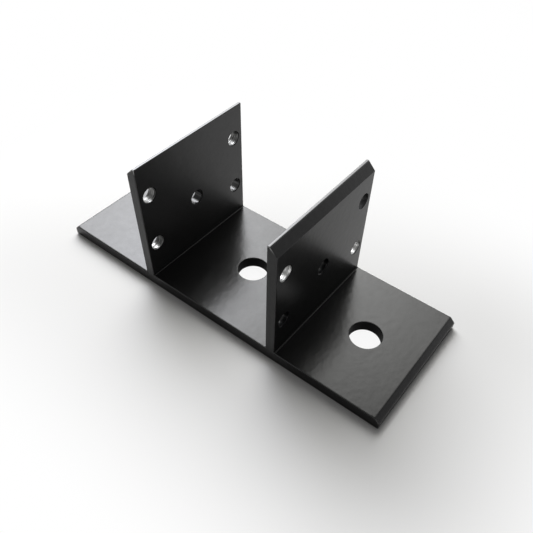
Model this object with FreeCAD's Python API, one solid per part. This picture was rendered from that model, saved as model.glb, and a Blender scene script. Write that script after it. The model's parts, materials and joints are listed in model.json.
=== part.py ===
import FreeCAD, Part
import math
import os

# Post bracket: one length of extruded aluminium section, sawn off, drilled and coated.
# The origin is the middle of the underside. X runs along the base, Y along the sawn
# width and Z up through the uprights. All sizes are in millimetres.

# The square post that stands between the uprights, and the play it gets
post_side = 88.9
post_clearance = 1.6

# The base that is bolted down
base_length = 244.5
base_width = 88.9
base_thickness = 7.9
base_end_chamfer = 3.2

# The pair of uprights, sloped off at the top on their outer side
bracket_height = 88.9
upright_thickness = 6.35
upright_top_flat = 1.6
foot_fillet = 0.8

# Corners of the section as extruded, and the deburred edges of saw cuts and holes
section_corner_radius = 0.5
saw_cut_break = 0.35
hole_edge_break = 0.3

# Screw holes in each upright: two near the top, two low down and one between them
screw_hole_diameter = 9.5
screw_hole_edge_distance = 7.95
top_holes_below_top = 21.45
low_holes_above_base = 23.05
middle_hole_above_base = 35.6

# Anchor holes in the base: one under the post and one in the foot at each end
anchor_hole_diameter = 19.8
anchor_hole_end_distance = 36.45

# Positions that follow from the sizes above
half_length = base_length / 2
half_width = base_width / 2
half_gap = (post_side + post_clearance) / 2
outer_face = half_gap + upright_thickness
top_chamfer = upright_thickness - upright_top_flat
top_hole_height = bracket_height - top_holes_below_top
low_hole_height = base_thickness + low_holes_above_base
middle_hole_height = base_thickness + middle_hole_above_base
screw_hole_offset = half_width - screw_hole_edge_distance
anchor_hole_offset = half_length - anchor_hole_end_distance

# A rounded corner takes up at most this share of the sides that meet in it, and the
# break along a saw cut at most this share of the corner radius that it runs round
corner_share_of_side = 0.45
break_share_of_corner = 0.7

across_uprights = FreeCAD.Vector(1, 0, 0)
along_section = FreeCAD.Vector(0, 1, 0)
upwards = FreeCAD.Vector(0, 0, 1)


def rounded_outline(corners):
    """Closed outline on the front face from (x, z, radius) corners, each rounded by an arc."""
    points = [FreeCAD.Vector(x, -half_width, z) for x, z, radius in corners]
    arcs = []
    for i, (x, z, radius) in enumerate(corners):
        to_last = points[i - 1] - points[i]
        to_next = points[(i + 1) % len(points)] - points[i]
        room = corner_share_of_side * min(to_last.Length, to_next.Length)
        to_last.normalize()
        to_next.normalize()
        half_angle = to_last.getAngle(to_next) / 2
        tangent = min(radius / math.tan(half_angle), room)
        cut_off = tangent / math.cos(half_angle) - tangent * math.tan(half_angle)
        inward = (to_last + to_next).normalize()
        arc_start = points[i] + to_last * tangent
        arc_middle = points[i] + inward * cut_off
        arc_end = points[i] + to_next * tangent
        arcs.append(Part.Arc(arc_start, arc_middle, arc_end).toShape())
    edges = []
    for i, arc in enumerate(arcs):
        next_arc = arcs[(i + 1) % len(arcs)]
        edges.append(arc)
        edges.append(Part.makeLine(arc.lastVertex().Point, next_arc.firstVertex().Point))
    return Part.Wire(edges)


def drilled_hole(start, direction, diameter, depth):
    """The metal that a drill and a deburring cutter take out of one wall."""
    radius = diameter / 2
    flare = radius + 2 * hole_edge_break
    profile = [
        (0, -hole_edge_break),
        (flare, -hole_edge_break),
        (radius, hole_edge_break),
        (radius, depth - hole_edge_break),
        (flare, depth + hole_edge_break),
        (0, depth + hole_edge_break),
        (0, -hole_edge_break),
    ]
    points = [FreeCAD.Vector(out, 0, along) for out, along in profile]
    cutter = Part.Face(Part.makePolygon(points)).revolve(FreeCAD.Vector(), upwards, 360)
    cutter.Placement = FreeCAD.Placement(start, FreeCAD.Rotation(upwards, direction))
    return cutter


# The section: its right half from the underside round to the gap, then the mirror image
corner = section_corner_radius
right_half = [
    (half_length, 0, corner),
    (half_length, base_thickness - base_end_chamfer, corner),
    (half_length - base_end_chamfer, base_thickness, corner),
    (outer_face, base_thickness, foot_fillet),
    (outer_face, bracket_height - top_chamfer, corner),
    (half_gap + upright_top_flat, bracket_height, corner),
    (half_gap, bracket_height, corner),
    (half_gap, base_thickness, foot_fillet),
]
left_half = [(-x, z, radius) for x, z, radius in reversed(right_half)]
section = Part.Face(rounded_outline(right_half + left_half))
bracket = section.extrude(along_section * base_width)

# Break the sharp edges that the saw leaves round the front and back faces, which are
# the faces whose normals run along the section
sawn_edges = []
for face in bracket.Faces:
    if face.normalAt(0, 0).isParallel(along_section, Part.Precision.angular()):
        sawn_edges.extend(face.Edges)
saw_break = min(saw_cut_break, break_share_of_corner * section_corner_radius)
bracket = bracket.makeChamfer(saw_break, sawn_edges)

# Drill the screw holes through each upright and the anchor holes through the base
screw_holes = [(0, middle_hole_height)]
for side in (-1, 1):
    for height in (low_hole_height, top_hole_height):
        screw_holes.append((side * screw_hole_offset, height))
holes = []
for left_face in (-outer_face, half_gap):
    for y, z in screw_holes:
        start = FreeCAD.Vector(left_face, y, z)
        holes.append(drilled_hole(start, across_uprights, screw_hole_diameter, upright_thickness))
for x in (-anchor_hole_offset, 0, anchor_hole_offset):
    start = FreeCAD.Vector(x, 0, 0)
    holes.append(drilled_hole(start, upwards, anchor_hole_diameter, base_thickness))
bracket = bracket.cut(holes)

os.makedirs("parts", exist_ok=True)
bracket.Solids[0].exportStep("parts/bracket.step")
print("solids", len(bracket.Solids), "valid", bracket.isValid(), "volume", round(bracket.Volume, 1))
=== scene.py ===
import json
import math
import bpy
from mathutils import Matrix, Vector


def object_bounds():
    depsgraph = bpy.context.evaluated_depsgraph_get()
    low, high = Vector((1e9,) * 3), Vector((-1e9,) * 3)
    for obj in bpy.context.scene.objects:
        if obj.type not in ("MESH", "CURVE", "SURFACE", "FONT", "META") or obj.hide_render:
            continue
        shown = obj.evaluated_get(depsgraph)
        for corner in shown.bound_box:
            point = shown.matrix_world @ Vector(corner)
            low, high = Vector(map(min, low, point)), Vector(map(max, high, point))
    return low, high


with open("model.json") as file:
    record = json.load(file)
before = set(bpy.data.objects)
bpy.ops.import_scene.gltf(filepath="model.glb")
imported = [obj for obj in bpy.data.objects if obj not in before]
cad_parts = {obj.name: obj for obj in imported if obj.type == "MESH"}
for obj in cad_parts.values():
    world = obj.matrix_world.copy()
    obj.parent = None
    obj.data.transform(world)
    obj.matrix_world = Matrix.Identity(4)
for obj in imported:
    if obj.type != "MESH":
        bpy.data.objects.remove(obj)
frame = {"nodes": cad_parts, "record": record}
cad_low, cad_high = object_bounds()


# The bracket: one length of extruded aluminium section, a flat base with two uprights,
# sawn to width, drilled, deburred and coated satin black. Five of the ten screw holes
# were plugged while it was coated, so their drilled walls show metal.
bracket = frame["nodes"]["bracket"]
mounts = {mount["name"]: mount for mount in frame["record"]["mounts"]}
mm_per_m = 1000
finish = bpy.data.materials.new("satin_black_coating")
finish.use_nodes = True
finish.node_tree.nodes.clear()
coat_nodes = finish.node_tree


def add_node(tree, kind, sockets, **settings):
    """Adds a shader node and fills its sockets with values or with other nodes' outputs."""
    node = tree.nodes.new(kind)
    for name, value in settings.items():
        setattr(node, name, value)
    for name, value in sockets.items():
        if isinstance(value, bpy.types.NodeSocket):
            tree.links.new(value, node.inputs[name])
        else:
            node.inputs[name].default_value = value
    return node


def combine(tree, operation, first, second):
    """One sum on two numbers or sockets."""
    sockets = {0: first, 1: second}
    return add_node(tree, "ShaderNodeMath", sockets, operation=operation).outputs[0]


def vectors(tree, operation, first, second):
    """One sum on two places or directions."""
    sockets = {0: first, 1: second}
    return add_node(tree, "ShaderNodeVectorMath", sockets, operation=operation).outputs[0]


def measure(tree, operation, first, second):
    """A number found from two places or directions, such as a distance."""
    sockets = {0: first, 1: second}
    return add_node(tree, "ShaderNodeVectorMath", sockets, operation=operation).outputs["Value"]


place = add_node(coat_nodes, "ShaderNodeTexCoord", {}).outputs["Object"]
facing = add_node(coat_nodes, "ShaderNodeNewGeometry", {}).outputs["Normal"]
place_axes = add_node(coat_nodes, "ShaderNodeSeparateXYZ", {0: place}).outputs
facing_axes = add_node(coat_nodes, "ShaderNodeSeparateXYZ", {0: facing}).outputs

# The walls of the screw holes: bare where a plug sat tight, misted over where it leaked, and
# elsewhere coated thinly or fully. Their deburred rims and the walls of the anchor holes are
# dull black.
hole_finishes = {
    "bare": [("right", "front", "top"), ("right", "back", "low")],
    "misted": [("left", "front", "low"), ("left", "front", "top"), ("left", "back", "top")],
    "thin": [("left", "back", "low"), ("right", "back", "top")],
}
anchor_holes = ["left_anchor_hole", "middle_anchor_hole", "right_anchor_hole"]
wall_play = 0.00002
rim_width = 0.00031


def within(tree, seen, centre, radius):
    """1 up to that radius from the middle line of a hole, 0 elsewhere."""
    from_centre = measure(tree, "DISTANCE", seen, centre)
    return combine(tree, "LESS_THAN", from_centre, radius)


pattern = mounts["left_screw_holes"]
pattern_height = pattern["pos_m"][2]
screw_radius = pattern["dims"]["hole_r_mm"] / mm_per_m
row_step = pattern["dims"]["spacing_x_mm"] / mm_per_m / 2
level_step = pattern["dims"]["spacing_y_mm"] / mm_per_m / 2
rows = {"front": -row_step, "back": row_step}
levels = {"low": pattern_height - level_step, "top": pattern_height + level_step}
sides = {
    "left": combine(coat_nodes, "LESS_THAN", place_axes["X"], 0.0),
    "right": combine(coat_nodes, "GREATER_THAN", place_axes["X"], 0.0),
}
seen_along_x = vectors(coat_nodes, "MULTIPLY", place, (0.0, 1.0, 1.0))
walls = dict.fromkeys(hole_finishes, 0.0)
for finish_name, holes in hole_finishes.items():
    for side, row, level in holes:
        centre = (0.0, rows[row], levels[level])
        wall = within(coat_nodes, seen_along_x, centre, screw_radius + wall_play)
        wall_here = combine(coat_nodes, "MULTIPLY", wall, sides[side])
        walls[finish_name] = combine(coat_nodes, "MAXIMUM", wall_here, walls[finish_name])
plugged_walls = combine(coat_nodes, "MAXIMUM", walls["bare"], walls["misted"])
screw_walls = 0.0
screw_rims = 0.0
middle_hole = tuple(mounts["cross_bolt"]["pos_m"])
corner_holes = [(0.0, y, z) for y in rows.values() for z in levels.values()]
for centre in [middle_hole] + corner_holes:
    wall = within(coat_nodes, seen_along_x, centre, screw_radius + wall_play)
    wall_and_rim = within(coat_nodes, seen_along_x, centre, screw_radius + rim_width)
    rim = combine(coat_nodes, "SUBTRACT", wall_and_rim, wall)
    screw_walls = combine(coat_nodes, "MAXIMUM", wall, screw_walls)
    screw_rims = combine(coat_nodes, "MAXIMUM", rim, screw_rims)
seen_from_above = vectors(coat_nodes, "MULTIPLY", place, (1.0, 1.0, 0.0))
anchor_walls = 0.0
for name in anchor_holes:
    centre = (mounts[name]["pos_m"][0], mounts[name]["pos_m"][1], 0.0)
    anchor_radius = mounts[name]["dims"]["r_mm"] / mm_per_m
    wall = within(coat_nodes, seen_from_above, centre, anchor_radius + wall_play)
    anchor_walls = combine(coat_nodes, "MAXIMUM", wall, anchor_walls)

# The two sawn faces, the outer and inner faces of the uprights and the fillets at their feet
square_on = 0.9
fillet_height = (0.00003, 0.00085)

front_or_back = combine(coat_nodes, "ABSOLUTE", facing_axes["Y"], 0.0)
sawn_faces = combine(coat_nodes, "GREATER_THAN", front_or_back, square_on)
own_side = combine(coat_nodes, "SIGN", place_axes["X"], 0.0)
outwards = combine(coat_nodes, "MULTIPLY", facing_axes["X"], own_side)
outer_faces = combine(coat_nodes, "GREATER_THAN", outwards, square_on)
inner_faces = combine(coat_nodes, "LESS_THAN", outwards, -square_on)
base_top = mounts["post_seat"]["pos_m"][2]
above_base = combine(coat_nodes, "SUBTRACT", place_axes["Z"], base_top)
over_top = combine(coat_nodes, "GREATER_THAN", above_base, fillet_height[0])
below_wall = combine(coat_nodes, "LESS_THAN", above_base, fillet_height[1])
fillets = combine(coat_nodes, "MULTIPLY", over_top, below_wall)

# The edges, which the coating rounds off, most of all at the ends of the base, and covers
# thinly in patches. On the tops of the uprights and on the saw cuts' broken edges near them
# it is rubbed through.
edge_reach = 0.0006
end_reach = 0.0014
end_depth = (0.0065, 0.0055)
edge_turn = (0.98, 0.80)
rounding_samples = 8
patch_marks = (400.0, 160.0, 400.0)
patch_detail = 3.0
patch_range = (0.4, 0.7)
patch_strength = (0.2, 1.0)
slanting = 0.3
rubbed_top_depth = (0.0006, 0.0002)
rubbed_break_depth = (0.0040, 0.0012)


def between(tree, value, low, high, to_low, to_high, easing="LINEAR"):
    """Carries a value that runs from low to high over to another range, held at its ends."""
    sockets = {
        "Value": value,
        "From Min": low,
        "From Max": high,
        "To Min": to_low,
        "To Max": to_high,
    }
    return add_node(tree, "ShaderNodeMapRange", sockets, interpolation_type=easing).outputs[0]


def speckle(tree, where, marks, detail):
    """Soft noise with so many marks to the metre along X, Y and Z."""
    spread = add_node(tree, "ShaderNodeMapping", {"Vector": where, "Scale": marks})
    sockets = {"Vector": spread.outputs[0], "Scale": 1.0, "Detail": detail}
    return add_node(tree, "ShaderNodeTexNoise", sockets).outputs["Fac"]


from_middle = combine(coat_nodes, "ABSOLUTE", place_axes["X"], 0.0)
end_from, end_to = [cad_high.x - depth for depth in end_depth]
reach = between(coat_nodes, from_middle, end_from, end_to, edge_reach, end_reach)
rounding = add_node(coat_nodes, "ShaderNodeBevel", {"Radius": reach}, samples=rounding_samples)
rounded = rounding.outputs[0]
turned = measure(coat_nodes, "DOT_PRODUCT", rounded, facing)
edges = between(coat_nodes, turned, *edge_turn, 0.0, 1.0)
patch_noise = speckle(coat_nodes, place, patch_marks, patch_detail)
patches = between(coat_nodes, patch_noise, *patch_range, *patch_strength)
thin_edges = combine(coat_nodes, "MULTIPLY", edges, patches)
below_top = combine(coat_nodes, "SUBTRACT", cad_high.z, place_axes["Z"])
rubbed_tops = between(coat_nodes, below_top, *rubbed_top_depth, 0.0, 1.0)
slanted = combine(coat_nodes, "GREATER_THAN", front_or_back, slanting)
saw_breaks = combine(coat_nodes, "SUBTRACT", slanted, sawn_faces)
near_top = between(coat_nodes, below_top, *rubbed_break_depth, 0.0, 1.0)
rubbed_breaks = combine(coat_nodes, "MULTIPLY", saw_breaks, near_top)

# Colour of the mottled coating, of its thin and rubbed places, and of the plugged holes' walls
# with the rings that the drill has left. Where the misted walls face up, they are painted partly bare
# metal: a painted highlight.
coating_dark = (0.005, 0.005, 0.0051, 1.0)
coating_light = (0.0085, 0.0085, 0.0086, 1.0)
coating_thin = (0.016, 0.016, 0.0162, 1.0)
coating_in_holes = (0.065, 0.065, 0.0655, 1.0)
metal_on_tops = (0.080, 0.080, 0.081, 1.0)
metal_on_breaks = (0.20, 0.20, 0.198, 1.0)
metal_bare = [(0.22, 0.22, 0.217, 1.0), (0.85, 0.85, 0.84, 1.0)]
metal_misted = [(0.035, 0.035, 0.034, 1.0), (0.21, 0.21, 0.207, 1.0)]
# Painted highlight: how far up the misted walls must face to take on the bare metal's colour, and how
# much of it
painted_highlight_facing = (0.65, 1.05)
painted_highlight_share = 0.30
mottle_marks = (260.0, 200.0, 260.0)
mottle_detail = 5.0
mottle_range = (0.35, 0.70)
drill_marks = (1300.0, 140.0, 140.0)
drill_detail = 2.0
drill_range = (0.35, 0.65)


def blend_colours(tree, share, first, second):
    """Goes over from the first colour to the second as the share grows from 0 to 1."""
    # A mix node's sockets share their names, so they go by number
    sockets = {0: share, 6: first, 7: second}
    return add_node(tree, "ShaderNodeMix", sockets, data_type="RGBA").outputs[2]


mottle_noise = speckle(coat_nodes, place, mottle_marks, mottle_detail)
mottle = between(coat_nodes, mottle_noise, *mottle_range, 0.0, 1.0)
drill_noise = speckle(coat_nodes, place, drill_marks, drill_detail)
drill_rings = between(coat_nodes, drill_noise, *drill_range, 0.0, 1.0)
coated_colour = blend_colours(coat_nodes, mottle, coating_dark, coating_light)
coated_colour = blend_colours(coat_nodes, thin_edges, coated_colour, coating_thin)
coated_colour = blend_colours(coat_nodes, walls["thin"], coated_colour, coating_in_holes)
coated_colour = blend_colours(coat_nodes, rubbed_tops, coated_colour, metal_on_tops)
coated_colour = blend_colours(coat_nodes, rubbed_breaks, coated_colour, metal_on_breaks)
bare_colour = blend_colours(coat_nodes, drill_rings, *metal_bare)
misted_colour = blend_colours(coat_nodes, drill_rings, *metal_misted)
# Painted highlight: the misted walls take on the bare metal's colour where they face up
painted_highlight = between(coat_nodes, facing_axes["Z"], *painted_highlight_facing, 0.0, painted_highlight_share)
misted_colour = blend_colours(coat_nodes, painted_highlight, misted_colour, bare_colour)
colour = blend_colours(coat_nodes, walls["misted"], coated_colour, misted_colour)
colour = blend_colours(coat_nodes, walls["bare"], colour, bare_colour)
colour = blend_colours(coat_nodes, screw_rims, colour, coating_dark)

# Roughness, which differs from face to face, and where metal shows: in the plugged holes and
# in the rubbed places. Over black a share of metal takes the shine off, as on the sawn and
# outer faces, the fillets, the rims of the screw holes and the walls of the anchor holes.
coating_roughness = (0.22, 0.26)
sawn_roughness = 0.36
outer_roughness = 0.33
inner_roughness = 0.45
screw_wall_roughness = 0.16
anchor_wall_roughness = 0.80
drilled_roughness = (0.50, 0.34)
cloud_marks = (90.0, 40.0, 90.0)
cloud_detail = 3.0
cloud_range = (0.3, 0.7)
sawn_dullness = 0.60
outer_dullness = 0.60
fillet_dullness = 0.50
mottle_dullness = 0.10


def blend(tree, share, first, second):
    """Goes over from the first number to the second as the share grows from 0 to 1."""
    sockets = {0: share, 2: first, 3: second}
    return add_node(tree, "ShaderNodeMix", sockets, data_type="FLOAT").outputs[0]


clouds = speckle(coat_nodes, place, cloud_marks, cloud_detail)
coated_roughness = between(coat_nodes, clouds, *cloud_range, *coating_roughness)
face_roughness = [
    (sawn_faces, sawn_roughness),
    (outer_faces, outer_roughness),
    (inner_faces, inner_roughness),
    (screw_walls, screw_wall_roughness),
    (anchor_walls, anchor_wall_roughness),
]
for faces, value in face_roughness:
    coated_roughness = blend(coat_nodes, faces, coated_roughness, value)
ring_roughness = between(coat_nodes, drill_rings, 0.0, 1.0, *drilled_roughness)
roughness = blend(coat_nodes, plugged_walls, coated_roughness, ring_roughness)
metal = combine(coat_nodes, "MULTIPLY", mottle, mottle_dullness)
face_dullness = [(sawn_faces, sawn_dullness), (outer_faces, outer_dullness), (fillets, fillet_dullness)]
for faces, value in face_dullness:
    metal = blend(coat_nodes, faces, metal, value)
for faces in (anchor_walls, screw_rims, rubbed_tops, rubbed_breaks, plugged_walls):
    metal = combine(coat_nodes, "MAXIMUM", faces, metal)

# Bump: the coating's orange peel, the die's fine lines along the section, the arcs that the
# saw blade has left on the sawn faces and the drill's rings in the plugged holes
peel_marks = (300.0, 250.0, 300.0)
peel_depth = 0.000065
die_marks = (1800.0, 8.0, 1800.0)
saw_marks = (1300.0, 0.0, 0.0)
saw_middle = (0.05, 0.0, -0.16)
bump_detail = 2.0
line_depth = 0.000002
ring_depth = 0.00012


def dented(tree, height, depth, normal):
    """Bump of that depth in metres, laid over the normal that is there already."""
    sockets = {"Height": height, "Distance": depth, "Strength": 1.0, "Normal": normal}
    return add_node(tree, "ShaderNodeBump", sockets).outputs[0]


peel = speckle(coat_nodes, place, peel_marks, bump_detail)
die_lines = speckle(coat_nodes, place, die_marks, bump_detail)
seen_along_y = vectors(coat_nodes, "MULTIPLY", place, (1.0, 0.0, 1.0))
from_saw = measure(coat_nodes, "DISTANCE", seen_along_y, saw_middle)
saw_arcs = speckle(coat_nodes, from_saw, saw_marks, bump_detail)
tool_lines = blend(coat_nodes, sawn_faces, die_lines, saw_arcs)
rings_in_holes = combine(coat_nodes, "MULTIPLY", drill_rings, plugged_walls)
surface = dented(coat_nodes, peel, peel_depth, rounded)
surface = dented(coat_nodes, tool_lines, line_depth, surface)
surface = dented(coat_nodes, rings_in_holes, ring_depth, surface)

skin_sockets = {"Base Color": colour, "Roughness": roughness, "Metallic": metal, "Normal": surface}
skin = add_node(coat_nodes, "ShaderNodeBsdfPrincipled", skin_sockets)
add_node(coat_nodes, "ShaderNodeOutputMaterial", {"Surface": skin.outputs[0]})
bracket.material_slots[0].material = finish


# The floor: a wide sheet of white paper under the bracket, lit plainly near it so that it
# keeps the shadow. It is clean white further out and where it shows through the anchor holes,
# and far away it goes over to the tone of the room.
floor_half_side = 8.0
floor_drop = 0.0002
floor_outline = [(-1, -1), (1, -1), (1, 1), (-1, 1)]
floor_corners = [(x * floor_half_side, y * floor_half_side, -floor_drop) for x, y in floor_outline]
floor_mesh = bpy.data.meshes.new("floor")
floor_mesh.from_pydata(floor_corners, [], [(0, 1, 2, 3)])
floor = bpy.data.objects.new("floor", floor_mesh)
bpy.context.scene.collection.objects.link(floor)
paper = bpy.data.materials.new("white_paper")
paper.use_nodes = True
paper.node_tree.nodes.clear()
floor_mesh.materials.append(paper)
paper_nodes = paper.node_tree
paper_white = (0.80, 0.795, 0.785, 1.0)
clean_white = (1.0, 1.0, 1.0, 1.0)
clean_from_outline = (0.0, 0.13)
clean_under_base = (0.008, 0.020)
under_base_share = 0.92
far_from_outline = (0.4, 1.8)
room_tones = (0.36, 0.96)
room_back = (0.53, 0.83)
room_front = (0.30, -0.10)
room_left = (0.20, -0.20)
room_low = (0.45, 0.15)


def softly(tree, value, low, high, to_low, to_high):
    """Like between, with an easy start and end."""
    return between(tree, value, low, high, to_low, to_high, "SMOOTHSTEP")


def seen_directly(tree):
    """1 for what the camera sees, straight or through a reflection, and 0 for stray light."""
    path = add_node(tree, "ShaderNodeLightPath", {}).outputs
    straight_or_mirrored = combine(tree, "MAXIMUM", path["Is Camera Ray"], path["Is Glossy Ray"])
    return combine(tree, "MAXIMUM", straight_or_mirrored, path["Is Transmission Ray"])


def room_tone(tree, direction):
    """How light the room is that way: white at the back, and low down at the front and left."""
    unit = add_node(tree, "ShaderNodeVectorMath", {0: direction}, operation="NORMALIZE").outputs[0]
    axes = add_node(tree, "ShaderNodeSeparateXYZ", {0: unit}).outputs
    back = softly(tree, axes["Y"], *room_back, *room_tones)
    front = softly(tree, axes["Y"], *room_front, 0.0, 1.0)
    left = softly(tree, axes["X"], *room_left, 0.0, 1.0)
    low_down = softly(tree, axes["Z"], *room_low, 0.0, 1.0)
    white = combine(tree, "MULTIPLY", combine(tree, "MAXIMUM", front, left), low_down)
    return blend(tree, white, back, room_tones[1])


floor_place = add_node(paper_nodes, "ShaderNodeTexCoord", {}).outputs["Object"]
way_out = add_node(paper_nodes, "ShaderNodeVectorMath", {0: floor_place}, operation="ABSOLUTE")
beyond = vectors(paper_nodes, "SUBTRACT", way_out.outputs[0], cad_high)
outside = vectors(paper_nodes, "MAXIMUM", beyond, (0.0, 0.0, 0.0))
way_outside = add_node(paper_nodes, "ShaderNodeVectorMath", {0: outside}, operation="LENGTH")
from_outline = way_outside.outputs["Value"]
beyond_axes = add_node(paper_nodes, "ShaderNodeSeparateXYZ", {0: beyond}).outputs
past_edge = combine(paper_nodes, "MAXIMUM", beyond_axes["X"], beyond_axes["Y"])
inside_edge = combine(paper_nodes, "MULTIPLY", past_edge, -1.0)
under = softly(paper_nodes, inside_edge, *clean_under_base, 0.0, under_base_share)
clear_of_shadow = softly(paper_nodes, from_outline, *clean_from_outline, 0.0, 1.0)
clean = combine(paper_nodes, "MAXIMUM", under, clear_of_shadow)
clean = combine(paper_nodes, "MULTIPLY", clean, seen_directly(paper_nodes))
far_tone = room_tone(paper_nodes, floor_place)
clean_tone = between(paper_nodes, from_outline, *far_from_outline, 1.0, far_tone)
lit_paper = add_node(paper_nodes, "ShaderNodeBsdfDiffuse", {"Color": paper_white})
clean_sockets = {"Color": clean_white, "Strength": clean_tone}
clean_paper = add_node(paper_nodes, "ShaderNodeEmission", clean_sockets)
sheet_sockets = {0: clean, 1: lit_paper.outputs[0], 2: clean_paper.outputs[0]}
sheet = add_node(paper_nodes, "ShaderNodeMixShader", sheet_sockets)
add_node(paper_nodes, "ShaderNodeOutputMaterial", {"Surface": sheet.outputs[0]})


# The light: one long softbox behind the left foot, mirrored in the top of the base. Its cloth
# is brightest and coolest in front of the bulb, near its left end, and warmer further off. A
# pale room fills in the shadows.
softbox_place = Vector((-0.43, 0.505, 0.71))
softbox_length = 1.10
softbox_height = 0.92
softbox_radiance = 12.4
bulb_along = 0.22
bulb_up = 0.08
glow_length = 0.375
glow_above = 0.13
glow_below = 0.475
cloth_at_bulb = (0.93, 0.943, 1.0, 1.0)
cloth_at_end = (1.0, 0.995, 0.935, 1.0)
softbox_data = bpy.data.lights.new("softbox", "AREA")
softbox_data.shape = "RECTANGLE"
softbox_data.size = softbox_length
softbox_data.size_y = softbox_height
softbox_data.energy = softbox_radiance * math.pi * softbox_length * softbox_height
softbox_data.use_nodes = True
softbox_data.node_tree.nodes.clear()
softbox = bpy.data.objects.new("softbox", softbox_data)
softbox.location = softbox_place
softbox.rotation_mode = "QUATERNION"
softbox.rotation_quaternion = (-softbox_place).to_track_quat("-Z", "Y")
bpy.context.scene.collection.objects.link(softbox)

cloth_nodes = softbox_data.node_tree
cloth_place = add_node(cloth_nodes, "ShaderNodeNewGeometry", {}).outputs["Parametric"]
cloth_middle = 0.5
bulb_place = (
    cloth_middle + bulb_along / softbox_length,
    cloth_middle + bulb_up / softbox_height,
    0.0,
)
glow_steps_up = (softbox_length / glow_length, softbox_height / glow_above, 0.0)
glow_steps_down = (-softbox_length / glow_length, -softbox_height / glow_below, 0.0)
from_bulb = vectors(cloth_nodes, "SUBTRACT", cloth_place, bulb_place)
steps_up = vectors(cloth_nodes, "MULTIPLY", from_bulb, glow_steps_up)
steps_down = vectors(cloth_nodes, "MULTIPLY", from_bulb, glow_steps_down)
steps = vectors(cloth_nodes, "MAXIMUM", steps_up, steps_down)
steps_squared = measure(cloth_nodes, "DOT_PRODUCT", steps, steps)
glow = combine(cloth_nodes, "DIVIDE", 1.0, combine(cloth_nodes, "ADD", steps_squared, 1.0))
cloth_colour = blend_colours(cloth_nodes, glow, cloth_at_end, cloth_at_bulb)
cloth = add_node(cloth_nodes, "ShaderNodeEmission", {"Color": cloth_colour, "Strength": glow})
add_node(cloth_nodes, "ShaderNodeOutputLight", {"Surface": cloth.outputs[0]})

room_fill = 0.15
room = bpy.data.worlds.new("pale_room")
room.use_nodes = True
room.node_tree.nodes.clear()
bpy.context.scene.world = room
room_nodes = room.node_tree
room_direction = add_node(room_nodes, "ShaderNodeTexCoord", {}).outputs["Generated"]
room_seen = room_tone(room_nodes, room_direction)
room_light = blend(room_nodes, seen_directly(room_nodes), room_fill, room_seen)
room_sockets = {"Color": clean_white, "Strength": room_light}
room_walls = add_node(room_nodes, "ShaderNodeBackground", room_sockets)
add_node(room_nodes, "ShaderNodeOutputWorld", {"Surface": room_walls.outputs[0]})


# The camera looks down on the bracket from the front right, as over the edge of a table.
# The shift keeps the bracket where the square picture has it.
camera_place = (0.16558, -0.19993, 0.27782)
camera_turns = (40.615, -1.152, 37.922)
camera_lens = 38.975
camera_sensor_width = 36.0
camera_shift = (-0.01305, 0.06633)
camera_data = bpy.data.cameras.new("camera")
camera_data.lens = camera_lens
camera_data.sensor_width = camera_sensor_width
camera_data.shift_x = camera_shift[0]
camera_data.shift_y = camera_shift[1]
camera = bpy.data.objects.new("camera", camera_data)
camera.location = camera_place
camera.rotation_euler = [math.radians(turn) for turn in camera_turns]
bpy.context.scene.collection.objects.link(camera)
bpy.context.scene.camera = camera
bpy.context.scene.view_settings.view_transform = "Standard"
